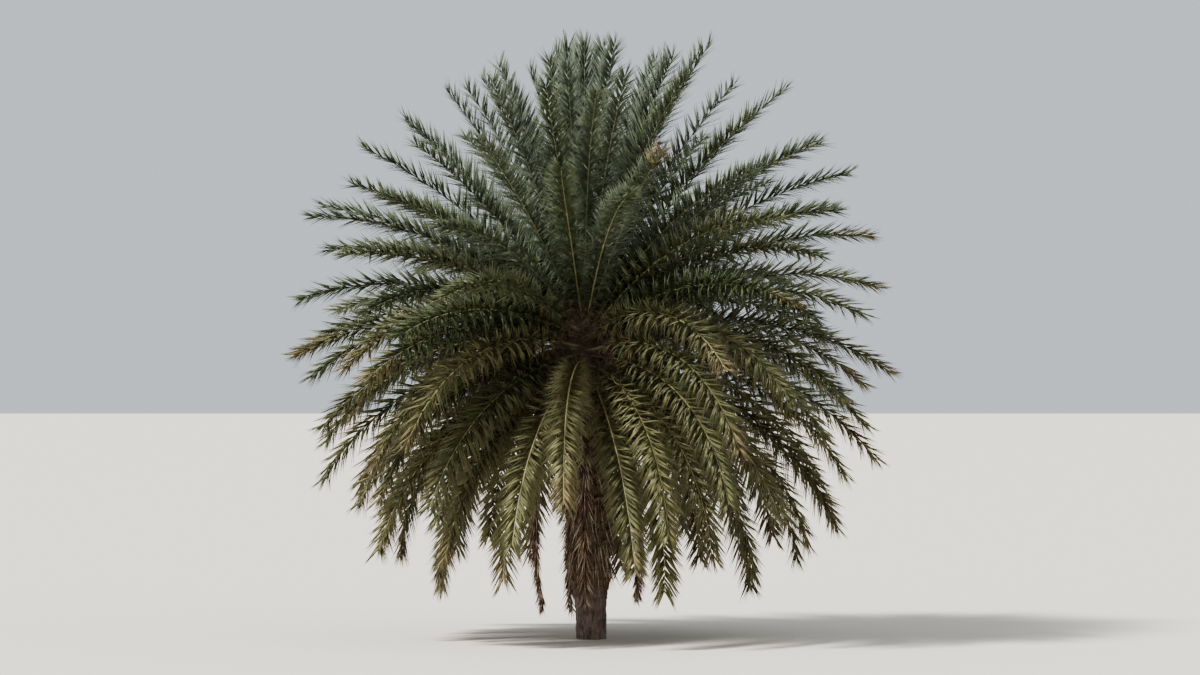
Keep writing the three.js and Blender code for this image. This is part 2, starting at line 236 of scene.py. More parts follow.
def light_and_dark(group, given, share, low, high):
    """The finish's dark colour where a share is low, its light one where it is high."""
    spread = group.nodes.new("ShaderNodeMapRange")
    spread.inputs["From Min"].default_value = low
    spread.inputs["From Max"].default_value = high
    group.links.new(share, spread.inputs["Value"])
    colour = group.nodes.new("ShaderNodeMix")
    colour.data_type = "RGBA"
    group.links.new(spread.outputs["Result"], colour.inputs["Factor"])
    group.links.new(given.outputs["Dark"], colour.inputs["A"])
    group.links.new(given.outputs["Light"], colour.inputs["B"])
    return colour.outputs["Result"]


def fibre_finish_group():
    """Dry plant fibre: drawn out streaks and blotches, between a light and a dark colour."""
    group, given, result = start_finish("fibre_finish", {"Streaks": "Vector"})
    nodes, link = group.nodes, group.links.new
    place = nodes.new("ShaderNodeTexCoord")
    drawn = nodes.new("ShaderNodeMapping")
    link(place.outputs["Object"], drawn.inputs["Vector"])
    link(given.outputs["Streaks"], drawn.inputs["Scale"])
    streaks = add_noise(group, drawn.outputs["Vector"], scale=1, detail=6, roughness=0.65)
    blotches = add_noise(group, place.outputs["Object"], scale=7, detail=4)
    rest = nodes.new("ShaderNodeMath")
    rest.operation = "MULTIPLY"
    rest.inputs[1].default_value = 1 - STREAK_SHARE
    link(blotches, rest.inputs[0])
    both = nodes.new("ShaderNodeMath")
    both.operation = "MULTIPLY_ADD"
    both.inputs[1].default_value = STREAK_SHARE
    link(streaks, both.inputs[0])
    link(rest.outputs["Value"], both.inputs[2])
    rough = nodes.new("ShaderNodeMapRange")
    rough.inputs["To Min"].default_value = 0.98
    rough.inputs["To Max"].default_value = 0.78
    link(streaks, rough.inputs["Value"])
    link(light_and_dark(group, given, both.outputs["Value"], 0.36, 0.64), result.inputs["Color"])
    link(rough.outputs["Result"], result.inputs["Roughness"])
    link(streaks, result.inputs["Height"])
    return group


FIBRE_FINISH = fibre_finish_group()


def finished_material(name, group, bump, **values):
    """A material with a finish group, and its roughness and relief joined to the shader."""
    material, tree, shader = new_material(name)
    finish = tree.nodes.new("ShaderNodeGroup")
    finish.node_tree = group
    for socket, value in values.items():
        finish.inputs[socket].default_value = value
    relief = tree.nodes.new("ShaderNodeBump")
    relief.inputs["Distance"].default_value = bump
    tree.links.new(finish.outputs["Roughness"], shader.inputs["Roughness"])
    tree.links.new(finish.outputs["Height"], relief.inputs["Height"])
    tree.links.new(relief.outputs["Normal"], shader.inputs["Normal"])
    return material, tree, shader, finish.outputs["Color"]


def wear_upper_faces(tree, colour, worn):
    """A colour that is bleached on the faces that look up, where sun and dust fall."""
    place = tree.nodes.new("ShaderNodeTexCoord")
    parts = tree.nodes.new("ShaderNodeSeparateXYZ")
    share = tree.nodes.new("ShaderNodeMapRange")
    share.inputs["From Min"].default_value = 0.35
    share.inputs["From Max"].default_value = 0.9
    share.inputs["To Max"].default_value = 0.8
    bleached = tree.nodes.new("ShaderNodeMix")
    bleached.data_type = "RGBA"
    bleached.inputs["B"].default_value = worn
    tree.links.new(place.outputs["Normal"], parts.inputs["Vector"])
    tree.links.new(parts.outputs["Z"], share.inputs["Value"])
    tree.links.new(share.outputs["Result"], bleached.inputs["Factor"])
    tree.links.new(colour, bleached.inputs["A"])
    return bleached.outputs["Result"]


def fibre_material(name, light, dark, streaks, bump, worn=None):
    """Dry fibre, by how fine its streaks are along each axis, how deep, and its colour where it is worn."""
    material, tree, shader, colour = finished_material(
        name, FIBRE_FINISH, bump, Light=light, Dark=dark, Streaks=streaks
    )
    shader.inputs["Specular IOR Level"].default_value = 0.25
    if worn is not None:
        colour = wear_upper_faces(tree, colour, worn)
    tree.links.new(colour, shader.inputs["Base Color"])
    return material


def add_trunk():
    bpy.ops.mesh.primitive_circle_add(vertices=TRUNK_SIDES, radius=FOOT_RADIUS, fill_type="NGON")
    trunk = bpy.context.object
    trunk.name = "trunk_bark"
    draw_up(np.linspace(0, TRUNK_TOP, TRUNK_RINGS + 1), trunk_radius)
    for name, relief in TRUNK_RELIEF.items():
        carve(trunk, name, *relief)
    for vertex in trunk.data.vertices:
        vertex.co.z = max(0.0, vertex.co.z)
    bpy.ops.object.shade_smooth()
    light, dark = paint(150, 132, 122), paint(54, 44, 41)
    material = fibre_material("trunk_bark", light, dark, streaks=(55, 55, 7), bump=0.02)
    trunk.data.materials.append(material)
    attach(trunk, "root")
    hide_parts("trunk")


add_trunk()
bpy.ops.object.select_all(action="DESELECT")


# Old leaf bases
# Each frond that has been cut or has rotted off leaves the foot of its stalk: a woody wedge wider than a
# hand, pointing up and out, with a ragged end. They stand in offset rows, and the lowest are worn away.

FRONT = math.radians(-90)  # the side towards the camera
STUB_COLUMNS = 20
STUB_ROWS = 29
COLLAR_ROWS = 5  # worn bases go on up between the feet of the live fronds
STUB_SIZE = (0.165, 0.03, 0.1)  # across, out and up
STUB_STEPS = [  # to its ragged end: how far each step goes, and what it narrows to
    ((0, 0.022, 0.04), (0.86, 0.92, 1)),
    ((0, 0.026, 0.034), (0.66, 0.8, 1)),
]
STUB_BEVEL = 0.007
STUB_SCALES = (0.82, 1.12)
STUB_TURN_STRAY = 0.035
STUB_HEIGHT_STRAY = 0.012
STUB_TILT = 4  # degrees out from upright
STUB_TILT_STRAY = 5
WORN_SCALE = 0.45
WORN_SINK = 0.03  # how far a worn base is sunk in the trunk
FULL_SINK = 0.006
BASE_RELIEF = {
    "base_wear": (0.035, 0.018, (1, 1, 1)),
    "base_fray": (0.012, 0.008, (1, 1, 3)),
}
STUB_SEED = 11


def add_stub_model():
    """One wedge at the origin: across along X, out along Y and up along Z."""
    bpy.ops.mesh.primitive_cube_add(size=1)
    stub = bpy.context.object
    bpy.ops.object.mode_set(mode="EDIT")
    bpy.ops.transform.resize(value=STUB_SIZE)
    bpy.ops.mesh.select_all(action="DESELECT")
    bpy.ops.object.mode_set(mode="OBJECT")
    for face in stub.data.polygons:
        face.select = face.normal.z > 0.9
    bpy.ops.object.mode_set(mode="EDIT")
    for lift, narrowing in STUB_STEPS:
        bpy.ops.mesh.extrude_region_move(TRANSFORM_OT_translate={"value": lift})
        bpy.ops.transform.resize(value=narrowing)
    bpy.ops.mesh.select_all(action="SELECT")
    bpy.ops.mesh.bevel(offset=STUB_BEVEL, segments=1, affect="EDGES")
    bpy.ops.mesh.normals_make_consistent(inside=False)
    bpy.ops.object.mode_set(mode="OBJECT")
    return stub


def mesh_arrays(piece):
    """A piece's points and its faces, as triangles."""
    piece.data.calc_loop_triangles()
    points = np.zeros(len(piece.data.vertices) * 3)
    piece.data.vertices.foreach_get("co", points)
    triangles = np.zeros(len(piece.data.loop_triangles) * 3, int)
    piece.data.loop_triangles.foreach_get("vertices", triangles)
    return points.reshape(-1, 3), triangles.reshape(-1, 3)


def add_piece(name, shapes, material):
    """Joins many small shapes, each given as points and triangles, in one piece."""
    starts = np.cumsum([0] + [len(points) for points, _ in shapes])
    points = np.concatenate([points for points, _ in shapes])
    triangles = np.concatenate([faces + start for (_, faces), start in zip(shapes, starts)])
    mesh = bpy.data.meshes.new(name)
    mesh.vertices.add(len(points))
    mesh.vertices.foreach_set("co", points.astype(np.float32).ravel())
    mesh.loops.add(triangles.size)
    mesh.loops.foreach_set("vertex_index", triangles.astype(np.int32).ravel())
    mesh.polygons.add(len(triangles))
    mesh.polygons.foreach_set("loop_start", np.arange(0, triangles.size, 3, dtype=np.int32))
    mesh.update(calc_edges=True)
    mesh.materials.append(material)
    piece = bpy.data.objects.new(name, mesh)
    bpy.context.scene.collection.objects.link(piece)
    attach(piece, "root")
    return piece


def placed(model, foot, across, out, up, size):
    """A copy of a model with its own axes laid along across, out and up at its foot."""
    points, triangles = model
    axes = np.array([across, out, up])
    return foot + (points * size) @ axes, triangles


def on_trunk(azimuth, z, sink):
    """A point on the trunk's surface and the directions across it and out of it."""
    out = np.array([math.cos(azimuth), math.sin(azimuth), 0])
    across = np.array([math.sin(azimuth), -math.cos(azimuth), 0])
    centre = np.array([lean_at(z), 0, z])
    return centre + out * (float(trunk_radius(z)) - sink), across, out


def old_leaf_base_shapes(model, rng):
    shapes = []
    for row in range(1, STUB_ROWS + COLLAR_ROWS):
        z = mix(BARE_FOOT, COLLAR_FOOT, row / STUB_ROWS)
        grown = float(smoothstep(z, BARE_FOOT, STUBS_FULL))
        for column in range(row % 2, STUB_COLUMNS, 2):
            azimuth = FRONT + 2 * math.pi * column / STUB_COLUMNS + rng.normal(0, STUB_TURN_STRAY)
            height = z + rng.normal(0, STUB_HEIGHT_STRAY)
            size = mix(WORN_SCALE, 1, grown) * rng.uniform(*STUB_SCALES)
            foot, across, out = on_trunk(azimuth, height, mix(WORN_SINK, FULL_SINK, grown))
            tilt = math.radians(rng.normal(STUB_TILT, STUB_TILT_STRAY))
            up = np.array([0, 0, 1]) * math.cos(tilt) + out * math.sin(tilt)
            shapes.append(placed(model, foot, across, np.cross(up, across), up, size))
    return shapes


def add_old_leaf_bases():
    stub = add_stub_model()
    model = mesh_arrays(stub)
    bpy.data.objects.remove(stub)
    shapes = old_leaf_base_shapes(model, np.random.default_rng(STUB_SEED))
    light, dark, worn = paint(136, 116, 100), paint(62, 48, 40), paint(160, 140, 120)
    material = fibre_material("old_leaf_base", light, dark, streaks=(60, 60, 9), bump=0.006, worn=worn)
    bases = add_piece("old_leaf_bases", shapes, material)
    for name, relief in BASE_RELIEF.items():
        carve(bases, name, *relief)
    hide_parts("trunk")


add_old_leaf_bases()
bpy.ops.object.select_all(action="DESELECT")


# Growing point
# The trunk ends in a blunt cone of young stalks wrapped in their own brown sheaths. It sits on the trunk's
# top and carries the upper fronds.

BUD_TIP = 4.48
BUD_RADIUS = 0.184
BUD_WAIST = (0.3, 0.45)  # narrower by this share at this share of its height
BUD_TIP_SHARE = 0.02  # of its radius at the foot
BUD_SINK = 0.02  # into the trunk's top
BUD_SIDES = 64
BUD_RINGS = 26


def bud_radius(z):
    share = (z - TRUNK_TOP) / (BUD_TIP - TRUNK_TOP)
    narrowing, height = BUD_WAIST
    return BUD_RADIUS * float(np.interp(share, (0, height, 1), (1, 1 - narrowing, BUD_TIP_SHARE)))


def add_growing_point():
    start = (lean_at(TRUNK_TOP), 0, TRUNK_TOP - BUD_SINK)
    bpy.ops.mesh.primitive_circle_add(
        vertices=BUD_SIDES, radius=BUD_RADIUS, fill_type="NGON", location=start
    )
    bud = bpy.context.object
    bud.name = "growing_point"
    bpy.ops.object.transform_apply(location=True)
    draw_up(np.linspace(TRUNK_TOP, BUD_TIP, BUD_RINGS + 1), bud_radius)
    carve(bud, "bud_sheaths", grain=0.05, depth=0.03, stretch=(1, 1, 4))
    bpy.ops.object.shade_smooth()
    light, dark = paint(160, 146, 124), paint(86, 76, 64)
    bud.data.materials.append(fibre_material("bud_fibre", light, dark, streaks=(80, 80, 8), bump=0.01))
    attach(bud, "root")
    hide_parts("upper_fronds")


add_growing_point()
bpy.ops.object.select_all(action="DESELECT")


# Ribs
# The rib is the stalk and backbone of a frond: woody, flat above and keeled below, pale yellow-green, and
# flared where it clasps the trunk. Fronds change by one rule with their age, from the upright youngest to
# the oldest that hang, and dry ones hang along the trunk under them.

GOLDEN_ANGLE = math.pi * (3 - math.sqrt(5))
UPPER_FRONDS = 104  # they stand on the growing point
LOWER_FRONDS = 53  # these stand on the trunk
DRY_FRONDS = 5
LIVE_FRONDS = UPPER_FRONDS + LOWER_FRONDS
YOUNGEST_SEAT = (4.3, 0.02)  # height and radius
LAST_UPPER_SEAT = (4.11, 0.14)
FIRST_LOWER_Z = 4.01
OLDEST_Z = 3.6
DRY_Z = 3.5
ROOT_SINK = 0.01  # a rib starts this far inside the trunk
ROOT_DEPTH = 0.06  # and is carried on inwards
CROWDING = 1.15  # over 1, more of the fronds are old
SPREAD = math.radians(144)  # from the upright youngest frond down to the oldest
SPREAD_POWER = 0.86
LEAST_DROOP = math.radians(12)  # how far a frond bends from its foot to its tip
MOST_DROOP = math.radians(64)
DROOP_AGE = 0.75  # age at which a frond bends the most
DROOP_POWER = 1.3
RISE_PER_DROOP = 0.42  # share of the bend that its foot makes up for by standing higher
SPEAR_LEAN = math.radians(6)  # of the youngest towards -X, and ever less of the rest
SPEAR_LENGTH = 3.85  # the youngest, still growing
FROND_LENGTH = 4.14
GROWN_AGE = 0.35  # age at which a frond has its full length
OLDEST_LENGTH = 3.8
SUNNY_SIDE = 0.04  # fronds towards +X are longer by this share, and shorter towards -X
PARTING = math.radians(26)  # how far a frond at the front stands aside
PARTING_WIDTH = math.radians(38)
PARTED_AGES = (0.38, 0.52, 0.72, 0.86)  # it starts, is full, narrows and is as wide as it stays
OLD_PARTING = 0.2  # share of the parting that the oldest fronds keep
YOUNG_FOLD = math.radians(30)  # leaflets of a young frond stand up in a V, and an old one's hang
OLD_FOLD = math.radians(-6)
MOST_ROLL = math.radians(28)  # an old frond is twisted on its rib by up to this
MOST_SWAY = math.radians(10)
TURN_STRAY = math.radians(5)
RISE_STRAY = math.radians(4.5)
DROOP_STRAY = 0.18
LENGTH_STRAY = 0.04
DRY_LENGTH = 3.05
DRY_RISE = math.radians(-46)
DRY_DROOP = math.radians(50)
DRY_FOLD = math.radians(24)
DRY_SWAY = math.radians(5)
DRY_START = 0.4  # share of the way to the next that the first stands back from +X
DRY_TURN_STRAY = 0.22
DRY_DROOP_STRAY = math.radians(4)
DRY_LENGTH_STRAY = 0.08
RIB_FOOT = (0.015, 0.02)  # half width and depth
RIB_TIP = (0.003, 0.005)
UPPER_PETIOLE_HALF = 0.016
LOWER_PETIOLE_HALF = 0.042
DRY_PETIOLE_HALF = 0.03
FLARE_SHARE = 0.12  # share of the length over which the petiole widens to its foot
FLARE_DEPTH = 0.8  # of the flare's half width
LIVE_BEND = 1.4  # power of the length: over 1 bends most at the tip, under 1 at the foot
DRY_BEND = 0.45
SPINE_STEPS = 60
FLARE_STATIONS = (0, 0.015)  # shares of the length where the rib has a cross-section
EVEN_STATIONS = (0.035, 0.985, 31)  # the first and the last of the rest, and how many
LEAFLET_LENGTH = 0.47
DRY_LEAFLET_LENGTH = 0.26
YOUNG_AGE = 0.33
OLD_AGE = 0.8
LEAF_BUMP = 0.0006
LEAF_GLOSS = 0.38  # its lowest roughness
RIB_OUTLINE = np.array(
    [(1, -0.12), (0.72, 0.1), (0, -0.02), (-0.72, 0.1), (-1, -0.12), (-0.62, -0.7), (0, -1), (0.62, -0.7)]
)
RIB_COLOURS = {
    "young": (paint(150, 150, 116), paint(112, 114, 86)),
    "grown": (paint(164, 160, 118), paint(122, 120, 84)),
    "old": (paint(172, 162, 120), paint(130, 122, 84)),
    "dry": (paint(112, 84, 60), paint(70, 50, 36)),
}


def chance(k, salt):
    """A repeatable number from 0 to 1 for frond k."""
    value = math.sin(k * 12.9898 + salt * 78.233) * 43758.5453
    return value - math.floor(value)


def swing(k, salt):
    """The same, from -1 to 1."""
    return 2 * chance(k, salt) - 1


def frond_foot(azimuth, z, radius):
    return np.array([lean_at(z) + radius * math.cos(azimuth), radius * math.sin(azimuth), z])


def parted(azimuth, age):
    """Where a frond stands round the trunk, once those at the front have parted."""
    starts, full, closes, ends = PARTED_AGES
    off = math.remainder(azimuth - FRONT, 2 * math.pi)
    share = float(smoothstep(age, starts, full) * mix(1, OLD_PARTING, smoothstep(age, closes, ends)))
    aside = PARTING * share * math.exp(-((off / PARTING_WIDTH) ** 2))
    return FRONT + off + math.copysign(aside, off)


def live_seat(k):
    """The height and radius at which frond k leaves the growing point or the trunk."""
    if k < UPPER_FRONDS:
        place = k / UPPER_FRONDS
        return [mix(youngest, last, place) for youngest, last in zip(YOUNGEST_SEAT, LAST_UPPER_SEAT)]
    z = mix(FIRST_LOWER_Z, OLDEST_Z, (k - UPPER_FRONDS) / (LOWER_FRONDS - 1))
    return z, float(trunk_radius(z)) - ROOT_SINK


def live_frond(k):
    """Frond k of the live ones, 0 being the youngest."""
    upper = k < UPPER_FRONDS
    age = 1 - (1 - k / (LIVE_FRONDS - 1)) ** CROWDING
    azimuth = parted(GOLDEN_ANGLE * k + TURN_STRAY * swing(k, 1), age)
    bending = mix(LEAST_DROOP, MOST_DROOP, min(1, age / DROOP_AGE) ** DROOP_POWER)
    droop = bending * (1 + DROOP_STRAY * swing(k, 2))
    sideways = SPEAR_LEAN * (1 - age) * math.cos(azimuth)
    leaning = math.pi / 2 - SPREAD * age**SPREAD_POWER + sideways
    growing = mix(SPEAR_LENGTH, FROND_LENGTH, min(1, age / GROWN_AGE))
    past = max(0, (age - DROOP_AGE) / (1 - DROOP_AGE))
    length = mix(growing, OLDEST_LENGTH, past) * (1 + LENGTH_STRAY * swing(k, 4))
    return {
        "node": "upper_fronds" if upper else f"frond_{k - UPPER_FRONDS + 1:02d}",
        "number": k,
        "kind": "young" if age < YOUNG_AGE else "old" if age > OLD_AGE else "grown",
        "age": age,
        "azimuth": azimuth,
        "foot": frond_foot(azimuth, *live_seat(k)),
        "rise": leaning + RISE_PER_DROOP * droop + RISE_STRAY * swing(k, 3),
        "droop": droop,
        "sway": MOST_SWAY * swing(k, 5),
        "roll": MOST_ROLL * swing(k, 6) * age,
        "fold": mix(YOUNG_FOLD, OLD_FOLD, age),
        "length": length * (1 + SUNNY_SIDE * math.cos(azimuth)),
        "leaflet": LEAFLET_LENGTH,
        "bend": LIVE_BEND,
        "petiole_half": UPPER_PETIOLE_HALF if upper else LOWER_PETIOLE_HALF,
    }


def dry_frond(j):
    """Dry frond j, broken down at its foot."""
    azimuth = math.radians(360 / DRY_FRONDS * (j - DRY_START + DRY_TURN_STRAY * swing(j, 11)))
    return {
        "node": f"dry_frond_{j + 1}",
        "number": j,
        "kind": "dry",
        "age": 1.0,
        "azimuth": azimuth,
        "foot": frond_foot(azimuth, DRY_Z, float(trunk_radius(DRY_Z)) - ROOT_SINK),
        "rise": DRY_RISE,
        "droop": DRY_DROOP + DRY_DROOP_STRAY * swing(j, 12),
        "sway": DRY_SWAY * swing(j, 15),
        "roll": 0.0,
        "fold": DRY_FOLD,
        "length": DRY_LENGTH * (1 + DRY_LENGTH_STRAY * swing(j, 14)),
        "leaflet": DRY_LEAFLET_LENGTH,
        "bend": DRY_BEND,
        "petiole_half": DRY_PETIOLE_HALF,
    }


def nodes_of(fronds):
    """The solids that some fronds stand for, each named once."""
    return sorted({frond["node"] for frond in fronds})


def heading(frond, s):
    """The rib's direction, and its turn about the trunk, at shares s of the frond's length."""
    bent = np.maximum(0, s)
    tilt = frond["rise"] - frond["droop"] * bent ** frond["bend"]
    turn = frond["azimuth"] + frond["sway"] * bent**2
    along = np.stack([np.cos(tilt) * np.cos(turn), np.cos(tilt) * np.sin(turn), np.sin(tilt)], axis=-1)
    return along, turn


def spine(frond, s):
    """Points on the rib's upper side at shares s, with the directions along, to the side and up."""
    middles = (np.arange(SPINE_STEPS) + 0.5) / SPINE_STEPS
    steps = heading(frond, middles)[0] * frond["length"] / SPINE_STEPS
    line = frond["foot"] + np.vstack([np.zeros(3), np.cumsum(steps, axis=0)])
    at = np.clip(s, 0, 1) * SPINE_STEPS
    marks = np.arange(SPINE_STEPS + 1)
    points = np.stack([np.interp(at, marks, line[:, axis]) for axis in range(3)], axis=-1)
    along, turn = heading(frond, s)
    points = points + along * (np.minimum(0, s) * frond["length"])[:, None]
    level = np.stack([-np.sin(turn), np.cos(turn), np.zeros_like(turn)], axis=-1)
    roll = (frond["roll"] * np.maximum(0, s))[:, None]
    side = level * np.cos(roll) + np.cross(along, level) * np.sin(roll)
    return points, along, side, np.cross(along, side)


def rib_size(frond, s):
    """Half width and depth at shares s."""
    flare = (frond["petiole_half"] - RIB_FOOT[0]) * np.maximum(0, 1 - s / FLARE_SHARE) ** 2
    return mix(RIB_FOOT[0], RIB_TIP[0], s) + flare, mix(RIB_FOOT[1], RIB_TIP[1], s) + FLARE_DEPTH * flare


def tube_faces(rings, sides):
    """The triangles of a closed tube: rings of points, and one more point at its tip."""
    ring, side = np.meshgrid(np.arange(rings - 1), np.arange(sides), indexing="ij")
    a = (ring * sides + side).ravel()
    b = (ring * sides + (side + 1) % sides).ravel()
    walls = np.concatenate([np.stack([a, b, b + sides], 1), np.stack([a, b + sides, a + sides], 1)])
    last = (rings - 1) * sides + np.arange(sides)
    point = np.stack([last, np.roll(last, -1), np.full(sides, rings * sides)], 1)
    inner = np.arange(1, sides - 1)
    foot = np.stack([np.zeros_like(inner), inner + 1, inner], 1)
    return np.concatenate([walls, point, foot])


def tube_along(frond, s, half, depth, outline, tip):
    """A closed tube along a frond, from its half widths and depths at shares s to a point at share tip."""
    points, _, side, up = spine(frond, s)
    across = side[:, None] * half[:, None, None] * outline[None, :, :1]
    down = up[:, None] * depth[:, None, None] * outline[None, :, 1:]
    rings = (points[:, None] + across + down).reshape(-1, 3)
    end = spine(frond, np.array([tip]))[0]
    return np.concatenate([rings, end]), tube_faces(len(s), len(outline))


def rib_shape(frond):
    buried = -ROOT_DEPTH / frond["length"]
    s = np.concatenate([[buried, *FLARE_STATIONS], np.linspace(*EVEN_STATIONS)])
    half, depth = rib_size(frond, np.maximum(0, s))
    return tube_along(frond, s, half, depth, RIB_OUTLINE, 1.0)


def leaf_finish_group():
    """Living leaf: a waxy skin in slow patches between a light and a dark colour, finely veined."""
    group, given, result = start_finish("leaf_finish", {"Gloss": "Float"})
    nodes, link = group.nodes, group.links.new
    place = nodes.new("ShaderNodeTexCoord").outputs["Object"]
    patches = add_noise(group, place, scale=3.5, detail=5, roughness=0.7)
    veins = add_noise(group, place, scale=160, detail=2)
    rough = nodes.new("ShaderNodeMapRange")
    rough.inputs["To Min"].default_value = 0.75
    link(veins, rough.inputs["Value"])
    link(given.outputs["Gloss"], rough.inputs["To Max"])
    link(light_and_dark(group, given, patches, 0.35, 0.65), result.inputs["Color"])
    link(rough.outputs["Result"], result.inputs["Roughness"])
    link(veins, result.inputs["Height"])
    return group


LEAF_FINISH = leaf_finish_group()


def leaf_material(name, light, dark):
    """A living leaf or rib in two near colours."""
    material, tree, shader, colour = finished_material(
        name, LEAF_FINISH, LEAF_BUMP, Light=light, Dark=dark, Gloss=LEAF_GLOSS
    )
    tree.links.new(colour, shader.inputs["Base Color"])
    return material


LIVE = [live_frond(k) for k in range(LIVE_FRONDS)]
DRY = [dry_frond(j) for j in range(DRY_FRONDS)]


def add_ribs(kind, light, dark):
    fronds = [frond for frond in LIVE + DRY if frond["kind"] == kind]
    shapes = [rib_shape(frond) for frond in fronds]
    ribs = add_piece(f"ribs_{kind}", shapes, leaf_material(f"rib_{kind}", light, dark))
    ribs.data.shade_smooth()
    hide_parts(*nodes_of(fronds))


for kind, (light, dark) in RIB_COLOURS.items():
    add_ribs(kind, light, dark)


# Sheaths
# Each stalk's foot is still wrapped in the brown fibrous sheath that it grew in, torn at its upper end. Its
# wings clasp the stalks beside it, so that the sheaths close the heart of the crown and make it dark.

SHEATH_ENDS = (0.04, 0.085)  # shares of the frond's length
SHEATH_POINT = 0.02  # it goes this share further in a point
SHEATH_STATIONS = 9
SHEATH_COVER = 0.004
SHEATH_WING = 0.078
SHEATH_OUTLINE = np.array(
    [(1, 0), (0.5, 0.3), (0, 0.2), (-0.5, 0.3), (-1, 0), (-0.42, -0.75), (0, -1.05), (0.42, -0.75)]
)


def sheath_shape(frond):
    """A closed winged sleeve over the foot of a stalk, drawn out to a point along its upper side."""
    end = mix(*SHEATH_ENDS, chance(frond["number"], 31))
    s = np.concatenate([[-ROOT_DEPTH / frond["length"]], np.linspace(0, end, SHEATH_STATIONS - 1)])
    half, depth = rib_size(frond, np.maximum(0, s))
    wing = SHEATH_WING * (1 - (np.maximum(0, s) / end) ** 2)
    wide = half + SHEATH_COVER + wing
    return tube_along(frond, s, wide, depth + SHEATH_COVER, SHEATH_OUTLINE, end + SHEATH_POINT)


def add_sheaths():
    light, dark = paint(186, 172, 142), paint(112, 102, 82)
    material = fibre_material("sheath", light, dark, streaks=(45, 45, 45), bump=0.004)
    sheaths = add_piece("sheaths", [sheath_shape(frond) for frond in LIVE + DRY], material)
    sheaths.data.shade_smooth()
    carve(sheaths, "sheath_creases", grain=0.02, depth=0.008)
    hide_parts(*nodes_of(LIVE))


add_sheaths()
bpy.ops.object.select_all(action="DESELECT")


# Spines
# The lowest leaflets of a frond are hard, pale spines that stand off both edges of its bare stalk, short
# next to the trunk and longer towards the blade.

SPINE_SHARES = (0.055, 0.175)  # where they start and end along the frond
SPINE_PAIRS = 11
SPINE_LENGTHS = (0.05, 0.15)
SPINE_SCALES = (0.7, 1.1)
SPINE_HALF = 0.0035
SPINE_EDGE = 0.75  # they grow this far out on the rib's half width
SPINE_SINK = 0.004
SPINE_LEAN = 0.85  # from the rib's line
SPINE_LEAN_STRAY = 0.15
SPINE_LIFT = 0.35  # above the blade
SPINE_LIFT_STRAY = 0.3
SPINE_SEED = 21
SPIKE_SECTION = [(1, 0), (-0.5, 0.87), (-0.5, -0.87)]
SPIKE_FACES = np.array([(0, 1, 3), (1, 2, 3), (2, 0, 3), (0, 2, 1)])
ODD_WAY = np.array([0.3, 0.5, 0.8])  # a direction that hardly any spike points along


def unit(vectors):
    return vectors / np.linalg.norm(vectors, axis=-1, keepdims=True)


def hands(places):
    """1 on one side of a rib and -1 on the other, for even and odd places."""
    return np.where(places % 2 == 0, 1.0, -1.0)


def spikes(root, way, reach, half):
    """Three-sided spikes from their roots: three corners round each root, and its point."""
    aside = unit(np.cross(way, ODD_WAY))
    other = np.cross(way, aside)
    feet = [root + (x * aside + y * other) * half[:, None] for x, y in SPIKE_SECTION]
    return np.stack([*feet, root + way * reach[:, None]], axis=1)


def spine_spikes(frond, rng):
    """The spines of one frond."""
    count = 2 * SPINE_PAIRS
    hand = hands(np.arange(count))
    place = np.clip((np.arange(count) // 2 + rng.uniform(0, 1, count)) / SPINE_PAIRS, 0, 1)
    s = mix(*SPINE_SHARES, place)
    points, along, side, up = spine(frond, s)
    half, _ = rib_size(frond, s)
    root = points + side * (SPINE_EDGE * hand * half)[:, None] - up * SPINE_SINK
    lean = rng.normal(SPINE_LEAN, SPINE_LEAN_STRAY, count)
    lift = rng.normal(SPINE_LIFT, SPINE_LIFT_STRAY, count)
    out = side * (hand * np.cos(lift))[:, None] + up * np.sin(lift)[:, None]
    way = along * np.cos(lean)[:, None] + out * np.sin(lean)[:, None]
    reach = mix(*SPINE_LENGTHS, place) * rng.uniform(*SPINE_SCALES, count)
    return spikes(root, way, reach, np.full(count, SPINE_HALF))


def joined(name, shapes, faces, material):
    """One piece of many copies of the same faces: shapes holds each copy's points."""
    count, corners = shapes.shape[:2]
    triangles = (faces[None] + corners * np.arange(count)[:, None, None]).reshape(-1, 3)
    return add_piece(name, [(shapes.reshape(-1, 3), triangles)], material)


def add_spines():
    rng = np.random.default_rng(SPINE_SEED)
    shapes = np.concatenate([spine_spikes(frond, rng) for frond in LIVE])
    material = leaf_material("spine", paint(168, 160, 116), paint(130, 124, 86))
    spines = joined("spines", shapes, SPIKE_FACES, material)
    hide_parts(*nodes_of(LIVE))


add_spines()


# Leaflets
# More than two hundred narrow leaflets grow down each side of a rib, in small fans that stand in loose
# ranks. Each is a stiff keeled blade. Young ones are blue-grey with wax; old ones sag and are olive, going
# to straw.

BLADE_SHARES = (0.14, 0.985)  # where the leaflets start and end along the frond
FAN = 4  # leaflets that spring from nearly one place
FAN_OPENING = math.radians(24)
FAN_SPAN = 0.7  # of the way to the next fan
FAN_SHIFT = 0.2  # and each fan strays by this much of it
FAN_LEAN_STRAY = 0.07
FAN_FOLD_STRAY = 0.08
YOUNG_FANS = 56  # on each side
GROWN_FANS = 70
FILLING_AGES = (0.2, 0.55)  # between these the fans grow in number and the leaflets in width
LEAFLET_WAVE = (0.14, 0.86)  # part of a half wave that their lengths follow along the blade
WAVE_POWER = 0.6
LEAFLET_SCALES = (0.86, 1.0)
LEAFLET_EDGE = 0.8  # they grow this far out on the rib's half width
LEAFLET_SINK = 0.3  # and this far down its depth
FIRST_LEAN = math.radians(66)  # from the rib's line, next to the petiole
LAST_LEAN = math.radians(36)
LEAN_STRAY = 0.05
SPEARS = 5  # the youngest fronds, still half closed
SPEAR_OPENING = 0.3  # of its full lean, on the very youngest
